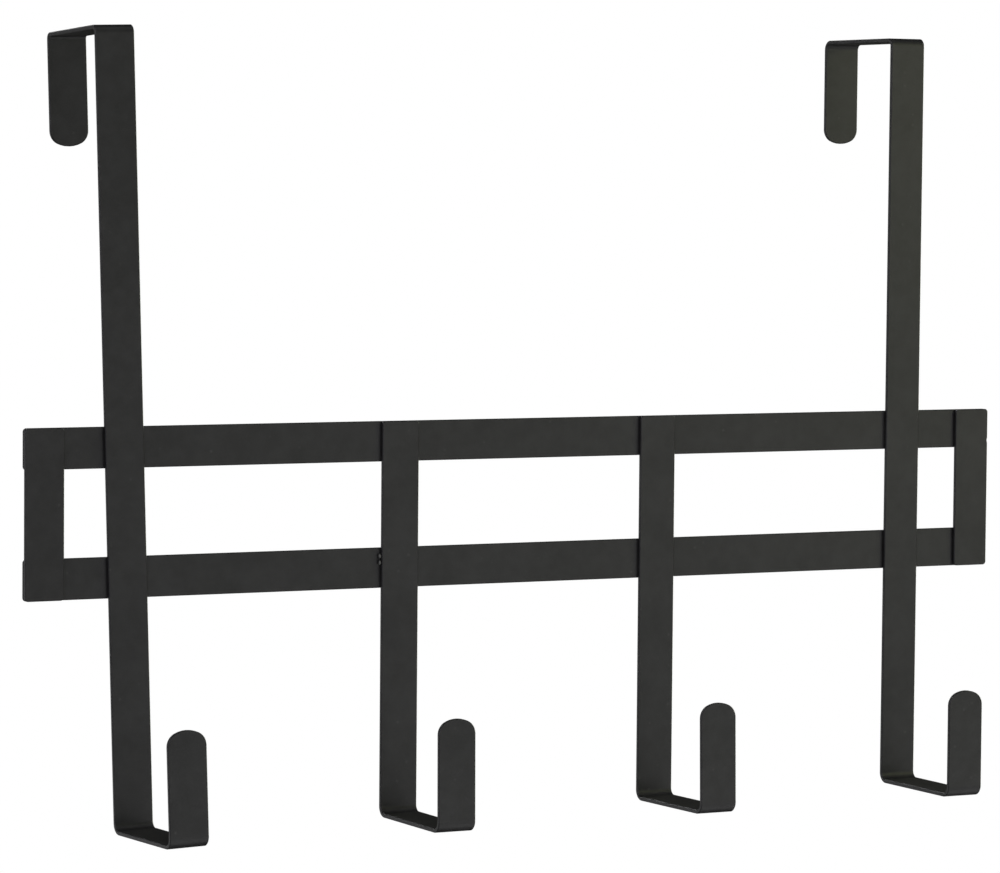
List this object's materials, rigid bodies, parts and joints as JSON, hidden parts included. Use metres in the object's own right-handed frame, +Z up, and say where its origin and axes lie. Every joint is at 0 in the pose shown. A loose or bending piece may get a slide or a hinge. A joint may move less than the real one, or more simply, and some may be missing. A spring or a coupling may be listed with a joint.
{
  "type": "over door hook",
  "caption": "Flat strip steel rack that hangs over a door: long folded straps and short hooks welded across two rails, each ending in an upturned round tip.",
  "frame": {"origin": "middle of the upper rail's back face, which lies on the front face of the door", "axes": "+X along the rails to the right as seen from the room, +Y back through the door, +Z up"},
  "size_m": [0.41, 0.0998, 0.2935],
  "materials": {
    "black_powder_coat": "matt black powder coat on mild steel"
  },
  "bodies": {
    "root": {"upper_rail": "black_powder_coat", "lower_rail": "black_powder_coat", "left_end_bar": "black_powder_coat", "right_end_bar": "black_powder_coat", "left_door_strap": "black_powder_coat", "left_middle_hook": "black_powder_coat", "right_middle_hook": "black_powder_coat", "right_door_strap": "black_powder_coat"}
  },
  "joints": []
}
